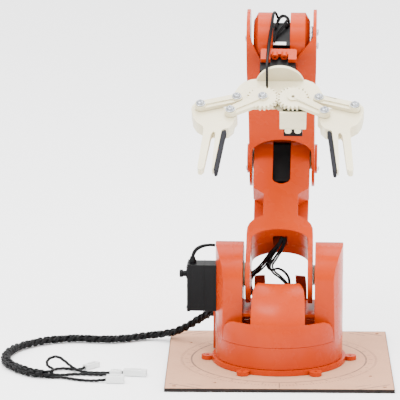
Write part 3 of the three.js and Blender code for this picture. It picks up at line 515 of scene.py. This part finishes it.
def add_lathe(verts, faces, place, profile, spokes=32):
    """A closed turned solid about place's z axis, from (radius, height) points."""
    rows = []
    for r, z in profile:
        if r < 1e-6:
            verts.append(place @ Vector((0, 0, z)))
            rows.append([len(verts) - 1])
        else:
            row = []
            for k in range(spokes):
                a = 2 * math.pi * k / spokes
                verts.append(place @ Vector((r * math.cos(a), r * math.sin(a), z)))
                row.append(len(verts) - 1)
            rows.append(row)
    for low, high in zip(rows, rows[1:]):
        for k in range(spokes):
            n = (k + 1) % spokes
            if len(low) == 1:
                faces.append((low[0], high[n], high[k]))
            elif len(high) == 1:
                faces.append((low[k], low[n], high[0]))
            else:
                faces.append((low[k], low[n], high[n], high[k]))


def facing(frame_matrix, origin, axis):
    """A place in the row's millimetres whose z axis is the given axis of a frame."""
    z = Vector(axis).normalized()
    x = z.orthogonal().normalized()
    local = Matrix((x, z.cross(x), z)).transposed().to_4x4()
    return frame_matrix @ Matrix.Translation(Vector(origin)) @ local


def screw_piece(name, places, radius, height, washer, body, extra=None):
    verts, faces = [], []
    for i, place in enumerate(places):
        add_screw(verts, faces, place, radius, height, washer, 0.4 + 0.9 * i + 0.37 * len(name))
    if extra:
        add_lathe(verts, faces, *extra)
    piece = outward(make_object(f"{name}_detail", verts, faces, STEEL.material))
    piece.data.set_sharp_from_angle(angle=math.radians(50))
    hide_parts(name)
    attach(piece, body)


LEVER_SEAT = 14.0


def pivot_place(point, side):
    x, t = point
    return facing(HAND_FRAME, (side * x + HAND_OFFSET, LEVER_SEAT, t + GEAR_LINE), (0, 1, 0))


screw_piece("screw_gear_left", [pivot_place(GEAR_PIVOT, -1)], 3.2, 2.1, 4.1, "gripper")
for word, side in (("right", 1), ("left", -1)):
    screw_piece(f"screw_link_{word}", [pivot_place(OUTER_PIVOT, side)], 3.2, 2.1, 4.1, "gripper")
    screw_piece(f"screw_lever_{word}", [pivot_place(FINGER_INNER, side)], 3.2, 2.1, 4.1, f"gear_{word}")
    screw_piece(f"screw_finger_{word}", [pivot_place(FINGER_OUTER, side)], 3.2, 2.1, 4.1, f"link_{word}")
for word, side in (("right", 1), ("left", -1)):
    place = facing(FOREARM_FRAME, (side * 32.3, 0, -10.4), (side, 0, 0))
    screw_piece(f"elbow_screw_{word}", [place], 2.2, 1.4, 0, "forearm")
screw_piece("wrist_screw_left", [facing(FOREARM_FRAME, (-31.3, 0, LINK), (-1, 0, 0))], 3, 1.6, 0, "forearm")
horn_places = []
for degrees in (45, 135, 225, 315):
    a = math.radians(degrees) - FOREARM_LEAN
    horn_places.append(facing(FOREARM_FRAME, (31.3, 8.6 * math.cos(a), LINK + 8.6 * math.sin(a)), (1, 0, 0)))
horn_disc = (
    facing(FOREARM_FRAME, (25.7, 0, LINK), (1, 0, 0)),
    [(0, 0), (11.4, 0), (11.5, 0.3), (11.5, 1.6), (11.3, 1.9), (0, 1.9)],
)
screw_piece("wrist_horn_right", horn_places, 2.1, 1.5, 0, "forearm", horn_disc)


# ---- turret covers ----
COVER_LOW = 27.9
SHELF = 47.0
SHELF_HALF = 39.6
HUMP_HALF = 24
NOTCH_HALF = 13.81
NOTCH_LOW = 57
SHELL = 2.6
# Outside this half width the cover runs in to the towers' faces.
TOWER_SIDE = 31.5
TOWER_FACE = -27.4
SKIRT = [(49.6, 27.9), (48.7, 36), (47.2, 41.4), (44.2, 44.9), (39.6, 47)]
FRONT_LEVELS = [
    (27.9, 0), (36, 0.4), (41.4, 0.9), (44, 1.3), (50, 2.2),
    (59, 6.4), (67, 12.8), (73, 20), (76.8, 27), (78.2, 31),
]
FRONT_CROWN = [(24, 50), (23.8, 59), (23.4, 67), (22.6, 73), (20.5, 76.8), (18, 78.2)]
REAR_LEVELS = [
    (27.9, 0), (36, 0.4), (41.4, 0.9), (44, 1.3), (50, 2.2), (59, 6.4), (66, 12.8), (71, 20), (74.2, 28),
]
REAR_CROWN = [(24, 50), (23.8, 59), (23.5, 66), (23.2, 71), (22.6, 74.2)]


def smooth_value(table, at):
    """A smooth curve through a rising table of (place, value)."""
    if at <= table[0][0]:
        return table[0][1]
    for i in range(len(table) - 1):
        (x1, y1), (x2, y2) = table[i], table[i + 1]
        if at <= x2:
            before = table[max(i - 1, 0)]
            after = table[min(i + 2, len(table) - 1)]
            m1 = (y2 - before[1]) / (x2 - before[0])
            m2 = (after[1] - y1) / (after[0] - x1)
            width = x2 - x1
            s = (at - x1) / width
            return (
                y1 * (2 * s**3 - 3 * s**2 + 1)
                + m1 * width * (s**3 - 2 * s**2 + s)
                + y2 * (3 * s**2 - 2 * s**3)
                + m2 * width * (s**3 - s**2)
            )
    return table[-1][1]


def cover_piece(name, levels, crown, back_turned, notch):
    """A turret cover: a skirt with rounded shoulders and a hooded middle, as one shell."""
    top_by_half = [(h, z) for h, z in reversed(crown)]
    skirt_by_half = [(h, z) for h, z in reversed(SKIRT)]
    peak = crown[-1]
    middle = [0, 3, 6, 9, 12, 13.8, 15.6, 17.2]
    middle += [18.8, 20] if notch else [18, 19.2, 20.2]
    middle += [21.2, 22, 22.6, 23.1, 23.5, 23.8, HUMP_HALF]
    outer = [26, 29, 32, 35, 38, SHELF_HALF, 41.4, 43, 44.2, 45.4, 46.4, 47.2, 48, 48.7, 49.2, 49.6]
    low_rows, high_rows = 14, 22
    half_columns = middle + outer
    columns = [-x for x in reversed(half_columns[1:])] + half_columns
    grid = {}
    verts, faces = [], []
    for c, x in enumerate(columns):
        h = abs(x)
        shelf = SHELF if h <= SHELF_HALF else smooth_value(skirt_by_half, h)
        peak_here = peak[1] if h <= peak[0] else smooth_value(top_by_half, h)
        rows = [COVER_LOW + (shelf - COVER_LOW) * j / low_rows for j in range(low_rows + 1)]
        if h <= HUMP_HALF:
            rows += [SHELF + (peak_here - SHELF) * j / high_rows for j in range(1, high_rows + 1)]
        for j, z in enumerate(rows):
            back = smooth_value(levels, z)
            y = back - math.sqrt(TURRET_RADIUS**2 - x * x)
            inner = y + SHELL
            if h > TOWER_SIDE:
                inner = min(inner, TOWER_FACE)
            for layer, depth in enumerate((y, max(inner, y + 0.4))):
                grid[(c, j, layer)] = len(verts)
                point = Vector((x, depth, z))
                if back_turned:
                    point = Vector((-x, -depth, z))
                verts.append(TURRET_FRAME @ point)
    cells = set()
    for c in range(len(columns) - 1):
        for j in range(low_rows + high_rows):
            corners = [(c, j), (c + 1, j), (c + 1, j + 1), (c, j + 1)]
            if any((a, b, 0) not in grid for a, b in corners):
                continue
            if notch and j >= low_rows:
                z_low = SHELF + (peak[1] - SHELF) * (j - low_rows) / high_rows
                if max(abs(columns[c]), abs(columns[c + 1])) <= NOTCH_HALF and z_low > NOTCH_LOW:
                    continue
            cells.add((c, j))
    for c, j in cells:
        ring = [(c, j), (c + 1, j), (c + 1, j + 1), (c, j + 1)]
        faces.append(tuple(grid[(*p, 0)] for p in ring))
        faces.append(tuple(grid[(*p, 1)] for p in reversed(ring)))
        for (dc, dj), (a, b) in {
            (0, -1): (ring[0], ring[1]),
            (1, 0): (ring[1], ring[2]),
            (0, 1): (ring[2], ring[3]),
            (-1, 0): (ring[3], ring[0]),
        }.items():
            if (c + dc, j + dj) not in cells:
                faces.append((grid[(*a, 0)], grid[(*a, 1)], grid[(*b, 1)], grid[(*b, 0)]))
    piece = outward(make_object(f"{name}_detail", verts, faces, ORANGE.material))
    clean = bmesh.new()
    clean.from_mesh(piece.data)
    loose = [v for v in clean.verts if not v.link_faces]
    bmesh.ops.delete(clean, geom=loose, context="VERTS")
    clean.to_mesh(piece.data)
    clean.free()
    bevel(piece, 0.8, 50, 3)
    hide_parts(name)
    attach(piece, "turret")


cover_piece("turret_front_cover", FRONT_LEVELS, FRONT_CROWN, False, False)
cover_piece("turret_rear_cover", REAR_LEVELS, REAR_CROWN, True, True)


# ---- leads and harness ----
HARNESS_ROUTE = [
    (-56.8, 40.6, 35), (-61.3, 44.6, 34.5), (-66, 49.5, 31), (-74.2, 57.5, 24), (-84, 62, 17),
    (-95.4, 67, 10.2), (-102, 71, 7.9), (-109, 75, 5.8), (-121, 76, 4.2), (-136, 69.5, 3.8),
    (-152, 63.8, 3.8), (-165, 63.6, 3.8), (-178, 65, 3.8), (-190, 65.2, 3.8), (-202, 63, 3.8),
    (-214, 57.5, 3.8), (-226.5, 47.8, 3.8), (-236, 36.6, 3.8), (-242.8, 22, 3.8), (-245.8, 6, 3.8),
    (-245.4, -9, 3.8), (-241.6, -23.5, 3.8), (-234.6, -35.5, 3.8), (-226, -46, 3.8),
    (-217.4, -53.6, 3.8), (-208, -57.5, 3.8),
]
LEAD_ROUTES = [
    [
        (-206.9, -56.1, 3.8), (-203.6, -57.2, 3), (-200.4, -54.4, 1.8), (-200.4, -48.4, 1.4),
        (-202.2, -41.4, 1.4), (-201, -35.8, 1.4), (-196, -31.8, 1.4), (-189, -31, 1.4),
        (-183.4, -33.8, 1.4), (-179, -35.2, 1.6), (-175.6, -33.6, 2), (-173, -30.4, 2.3),
    ],
    [
        (-208.2, -59.3, 3.8), (-204.8, -60.8, 3.8), (-200.8, -59.4, 4), (-196.6, -56.2, 2.6),
        (-191.6, -52.8, 1.4), (-184, -50.2, 1.4), (-174, -49.4, 1.4), (-164, -50.4, 1.4),
        (-156, -52, 1.7), (-149.2, -52.9, 2.4),
    ],
    [
        (-207.5, -57.7, 2.05), (-203.4, -59.4, 1.5), (-198, -60, 1.3), (-191, -60.6, 1.3), (-183, -64.4, 1.3),
        (-175, -68.2, 1.3), (-166.5, -70, 1.3), (-158.6, -70.6, 1.7), (-151.8, -70.8, 2.4),
    ],
    [
        (-207.5, -57.7, 5.6), (-203.6, -59, 6.2), (-199.8, -57, 6.4), (-199.4, -52, 6.4),
        (-202.4, -46.8, 6.6), (-205.6, -42, 8), (-205.2, -37.8, 10.8), (-201.6, -35.6, 12.9),
        (-196.6, -35, 13.2), (-191.6, -35.6, 10.6), (-186.4, -37, 6.6), (-180.6, -39.8, 3.4),
        (-173, -42.8, 1.6), (-163.6, -44.4, 1.4), (-154.4, -44.6, 1.4), (-146, -45, 1.7),
        (-137.8, -46.4, 2.4),
    ],
]


def above_floor(point, radius):
    """The point, lifted if need be so that a tube of this radius rests on the floor."""
    return Vector((point.x, point.y, max(point.z, radius + 0.05)))


PLAIT_PITCH = 21.0
STRAND_PITCH = 19
PLAIT_WIRE = 1.2
PLAIT_SWAY = 2.3
PLAIT_LIFT = 1.3
WIRE_SIDES = 7


def plait(name, route):
    """A plait of three strands, each strand three wires twisted together."""
    path, total = spline(route, 1.1)
    across, ups = carried_frames(path, (0, 0, 1))
    verts, faces = [], []
    for strand in range(3):
        for wire in range(3):
            line = []
            for i, point in enumerate(path):
                s = total * i / (len(path) - 1)
                phase = 2 * math.pi * (s / PLAIT_PITCH + strand / 3)
                fade = min(1.0, s / 6 + 0.35, (total - s) / 6 + 0.35)
                sway = fade * PLAIT_SWAY * math.sin(phase)
                lift = fade * PLAIT_LIFT * math.sin(2 * phase)
                spin = 2 * math.pi * (s / STRAND_PITCH + wire / 3) + strand
                grow = 1.3 + 0.12 * noise.noise(Vector((s * 0.11, strand * 3.1, wire * 1.7)))
                u = sway + grow * math.cos(spin)
                w = lift + grow * math.sin(spin)
                line.append(above_floor(point + across[i] * u + ups[i] * w, PLAIT_WIRE))
            add_tube(verts, faces, line, PLAIT_WIRE, WIRE_SIDES)
    piece = make_object(f"{name}_detail", verts, faces, LEAD.material)
    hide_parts(name)
    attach(piece, "base")
    return piece, path, total


LEAD_RADIUS = 1.45
LEAD_WIRES = 3
LEAD_PITCH = 16.0


def twisted_lead(name, route):
    """A loose lead of thin wires twisted lightly round its centre line."""
    path, total = spline(route, 1.2)
    across, ups = carried_frames(path, (0.1, 0, 1))
    verts, faces = [], []
    thin = LEAD_RADIUS * 0.56
    for wire in range(LEAD_WIRES):
        line = []
        for i, point in enumerate(path):
            s = total * i / (len(path) - 1)
            spin = 2 * math.pi * (s / LEAD_PITCH + wire / LEAD_WIRES)
            twist = across[i] * math.cos(spin) + ups[i] * math.sin(spin)
            line.append(above_floor(point + (LEAD_RADIUS - thin) * twist, thin))
        add_tube(verts, faces, line, thin, WIRE_SIDES)
    piece = make_object(f"{name}_detail", verts, faces, LEAD.material)
    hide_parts(name)
    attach(piece, "base")
    return piece, path, total


GATHER = 0.45


def add_bundle(verts, faces, route, count, spread, thin):
    """Loose wires side by side round a centre line, drawn together at both ends."""
    path, _ = spline(route, 1.2)
    across, ups = carried_frames(path, (0.1, 0, 1))
    for wire in range(count):
        line = []
        for i, point in enumerate(path):
            share = i / (len(path) - 1)
            angle = 2 * math.pi * wire / count + 0.7 + 1.3 * share
            loose = spread * (GATHER + (1 - GATHER) * math.sin(math.pi * share))
            stray = 0.5 * noise.noise(Vector((share * 3.1, wire * 2.3, count * 0.7)))
            around = across[i] * math.cos(angle) + ups[i] * math.sin(angle)
            line.append(point + (loose + stray) * around)
        add_tube(verts, faces, line, thin, WIRE_SIDES)


def bundle_piece(name, bundles, body=None, blend=None):
    """A piece of one or more bundles, each (route, count, spread, thin)."""
    verts, faces = [], []
    for route, count, spread, thin in bundles:
        add_bundle(verts, faces, route, count, spread, thin)
    piece = make_object(f"{name}_detail", verts, faces, LEAD.material)
    if name in NODES:
        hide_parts(name)
    if blend:
        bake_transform(piece, *blend)
    else:
        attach(piece, body)


braid, braid_path, braid_length = plait("harness_braid", HARNESS_ROUTE)


def knot_piece():
    """The tie at the braid's end, where the leads part."""
    centre = Vector((-209.6, -57.0, 3.9))
    ahead = Vector((0.92, -0.39, 0)).normalized()
    side = ahead.cross(Vector((0, 0, 1)))
    verts, faces = [], []
    for turn in range(3):
        line = []
        for k in range(41):
            a = 2 * math.pi * k / 40
            shift = (turn - 1) * 1.5 + 0.6 * math.sin(a + turn)
            round_braid = 3.05 * math.cos(a) * side + Vector((0, 0, 2.95 * math.sin(a)))
            line.append(centre + ahead * shift + round_braid)
        add_tube(verts, faces, line, 0.72, 7)
    piece = make_object("harness_tie", verts, faces, LEAD.material)
    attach(piece, "base")
    return piece


tie = knot_piece()
for i, route in enumerate(LEAD_ROUTES, 1):
    lead, lead_path, lead_length = twisted_lead(f"harness_lead_{i}", route)


def turret_points(points):
    return [TURRET_FRAME @ Vector(p) for p in points]


def hand_points(points):
    return [HAND_FRAME @ Vector(p) for p in points]


LEFT_LEAD = [
    (2, 19, 111), (-2, 18.6, 103), (-9, 20, 94), (-15, 22, 85), (-20, 24.6, 79),
    (-25, 28.4, 74), (-27.6, 30, 67), (-26, 28.5, 59), (-21, 24, 53),
]
RIGHT_LEAD = [
    (4.8, 20.5, 110), (2, 21.5, 101), (-4, 23.4, 91), (-8.4, 25, 83), (-6, 26.5, 77),
    (0, 27, 72), (6, 26, 66), (9, 23.5, 59), (9, 21, 53),
]
BRANCH = [
    (3, 20, 110), (-2, 20.5, 101), (-8, 21, 92), (-11, 22, 84), (-8, 24, 79.5), (-2, 25.5, 80.5),
    (3, 26.5, 78), (7.5, 27.5, 72), (8.5, 26.5, 65), (8.8, 24, 59), (9, 21.6, 54),
]
SERVO_LEAD = [
    (-77.6, 0, 91.5), (-77.4, 0, 97), (-74.6, 0, 102.6), (-69.4, 0, 106.2), (-63, 0, 107.4),
    (-57.4, 0, 107.2),
]
GRIPPER_LEAD = [
    (-4, 13.5, -13.5), (-6, 20.5, -12), (-7.6, 25.3, -4), (-8.6, 24.4, 8), (-9.8, 20.4, 17.5),
    (-10.8, 17, 27), (-11.3, 16.6, 38), (-11.5, 19.4, 52), (-11.5, 21, 62), (-11.3, 17.4, 70),
    (-11.2, 11.4, 74.6), (-11.2, 7.4, 75.4),
]
WRIST_WIRES = [
    [(5.5, 8.6, -14), (4.6, 12.4, -11), (1.4, 12.2, -4), (-2.6, 11.4, 3), (-5.4, 11, 9), (-6.2, 10.2, 16)],
    [(-3.5, 7, -15.4), (-0.5, 12.6, -16.6), (4.2, 12.4, -14.6), (5.8, 10.2, -10), (3.6, 9.8, -4.6)],
    [(6, 6.4, -16.4), (2.6, 11, -18.2), (-2.4, 11.2, -15.6), (-4.6, 9.9, -9.6), (-5.8, 9.6, -3)],
]


def joint_blend(frame_matrix, first_body, second_body, first_point, second_point):
    """The blend of a lead from one body, near one point of a frame, to the next."""
    ends = [tuple(frame_matrix @ Vector(p) * MM) for p in (first_point, second_point)]
    return (first_body, second_body, *ends)


ACROSS_SHOULDER = joint_blend(TURRET_FRAME, "turret", "upper_arm", (0, 27, 66), (0, 19, 108))
ACROSS_ROLL = joint_blend(HAND_FRAME, "wrist", "gripper", (-11, 16, 34), (-11, 20, 66))
left_lead, right_lead, branch = map(turret_points, (LEFT_LEAD, RIGHT_LEAD, BRANCH))
bundle_piece("shoulder_lead_left", [(left_lead, 4, 1.75, 0.85)], blend=ACROSS_SHOULDER)
bundle_piece(
    "shoulder_lead_right",
    [(right_lead, 3, 1.4, 0.85), (branch, 2, 0.9, 0.85)],
    blend=ACROSS_SHOULDER,
)
bundle_piece("shoulder_servo_lead", [(turret_points(SERVO_LEAD), 3, 1.0, 0.9)], "turret")
bundle_piece("gripper_lead", [(hand_points(GRIPPER_LEAD), 3, 0.75, 0.85)], blend=ACROSS_ROLL)
bundle_piece("wrist_wires", [(hand_points(route), 3, 0.8, 0.75) for route in WRIST_WIRES], "wrist")


# ---- servo trim ----
def add_box(verts, faces, place, low, high):
    first = len(verts)
    for x in (low[0], high[0]):
        for y in (low[1], high[1]):
            for z in (low[2], high[2]):
                verts.append(place @ Vector((x, y, z)))
    for face in ((0, 1, 3, 2), (4, 6, 7, 5), (0, 4, 5, 1), (2, 3, 7, 6), (0, 2, 6, 4), (1, 5, 7, 3)):
        faces.append(tuple(first + k for k in face))


def trim_piece(name, place, boxes, paint, body):
    verts, faces = [], []
    for low, high in boxes:
        add_box(verts, faces, place, low, high)
    piece = outward(make_object(name, verts, faces, paint.material))
    bevel(piece, 0.15)
    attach(piece, body)


CASE_HALF, CASE_LOW, CASE_HIGH = 10.25, 49, 91
CASE_OUTER = -82.2


def collar(x0, x1, proud):
    """Four bars round the shoulder servo's case, standing out from it."""
    far = CASE_HALF + proud
    return [
        ((x0, -far, CASE_HIGH), (x1, far, CASE_HIGH + proud)),
        ((x0, -far, CASE_LOW - proud), (x1, far, CASE_LOW)),
        ((x0, -far, CASE_LOW), (x1, -CASE_HALF, CASE_HIGH)),
        ((x0, CASE_HALF, CASE_LOW), (x1, far, CASE_HIGH)),
    ]


lids = collar(CASE_OUTER, -79.2, 0.45) + collar(-67.6, -66.8, 0.3)
trim_piece("shoulder_servo_lids", TURRET_FRAME, lids, SERVO, "turret")
# A thin white plate laid on the wrist servo's face, 11.4 by 3.8 mm.
white_plate_box = ((-7.2, 8.32, 14.6), (4.2, 8.9, 18.4))
trim_piece("wrist_white_plate", HAND_FRAME, [white_plate_box], WHITE_PLATE_PAINT, "wrist")

verts, faces = [], []
for y in (-7.6, 7.6):
    for z in (CASE_LOW + 2.8, CASE_HIGH - 2.8):
        place = facing(TURRET_FRAME, (CASE_OUTER, y, z), (-1, 0, 0))
        add_screw(verts, faces, place, 1.5, 0.9, 0, 0.3 * z)
case_screws = outward(make_object("shoulder_servo_screws", verts, faces, STEEL.material))
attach(case_screws, "turret")

KNOB = [(0, 0), (2.9, 0), (3.5, 0.4), (3.5, 2.6), (3.1, 3.2), (1.6, 3.4), (0, 3.4)]
GLAND = [(0, 0), (3.4, 0), (3.4, 2.4), (2.6, 3.6), (2.2, 5.6), (0, 5.6)]
verts, faces = [], []
add_lathe(verts, faces, facing(TURRET_FRAME, (-86.1, 0, SHOULDER_HEIGHT), (-1, 0, 0)), KNOB, 28)
add_lathe(verts, faces, facing(TURRET_FRAME, (-77.6, 0, CASE_HIGH), (0, 0, 1)), GLAND, 24)
fittings = outward(
    make_object("shoulder_servo_fittings", verts, faces, SERVO.material)
)
fittings.data.set_sharp_from_angle(angle=math.radians(40))
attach(fittings, "turret")


# ---- floor and light ----
floor_paint = Paint("floor", 0.6)
floor_paint.colour(floor_paint.mix(floor_paint.noise(3, 2), (0.93, 0.93, 0.93), (0.90, 0.90, 0.91)))
floor_mesh = bpy.data.meshes.new("floor")
reach = 6.0
floor_corners = [(-reach, -reach, 0), (reach, -reach, 0), (reach, reach, 0), (-reach, reach, 0)]
floor_mesh.from_pydata(floor_corners, [], [(0, 1, 2, 3)])
floor_mesh.materials.append(floor_paint.material)
floor = bpy.data.objects.new("floor", floor_mesh)
bpy.context.scene.collection.objects.link(floor)
floor.location = (0, 0, -0.0003)

world = bpy.data.worlds.new("studio")
bpy.context.scene.world = world
world.use_nodes = True
sky = world.node_tree
direction = sky.nodes.new("ShaderNodeSeparateXYZ")
sky.links.new(sky.nodes.new("ShaderNodeTexCoord").outputs["Generated"], direction.inputs[0])
dome = sky.nodes.new("ShaderNodeMapRange")
sky.links.new(direction.outputs["Z"], dome.inputs["Value"])
for socket, value in zip(("From Min", "From Max", "To Min", "To Max"), (0.05, 0.65, 0.25, 4.2)):
    dome.inputs[socket].default_value = value
sky.nodes["Background"].inputs["Color"].default_value = (1, 1, 1, 1)
sky.links.new(dome.outputs["Result"], sky.nodes["Background"].inputs["Strength"])


def area_light(name, place, target, size, power):
    data = bpy.data.lights.new(name, "AREA")
    data.shape = "RECTANGLE"
    data.size, data.size_y = size
    data.energy = power
    lamp = bpy.data.objects.new(name, data)
    bpy.context.scene.collection.objects.link(lamp)
    lamp.location = place
    lamp.rotation_euler = (Vector(target) - Vector(place)).to_track_quat("-Z", "Y").to_euler()


area_light("key", (-0.6, -1.1, 1.7), (0, 0, 0.12), (1.0, 0.8), 46)
area_light("fill", (1.3, -0.6, 0.7), (0, 0, 0.15), (0.8, 1.2), 16)
area_light("top", (0.1, 0.3, 1.9), (0, 0, 0.1), (1.2, 1.2), 34)
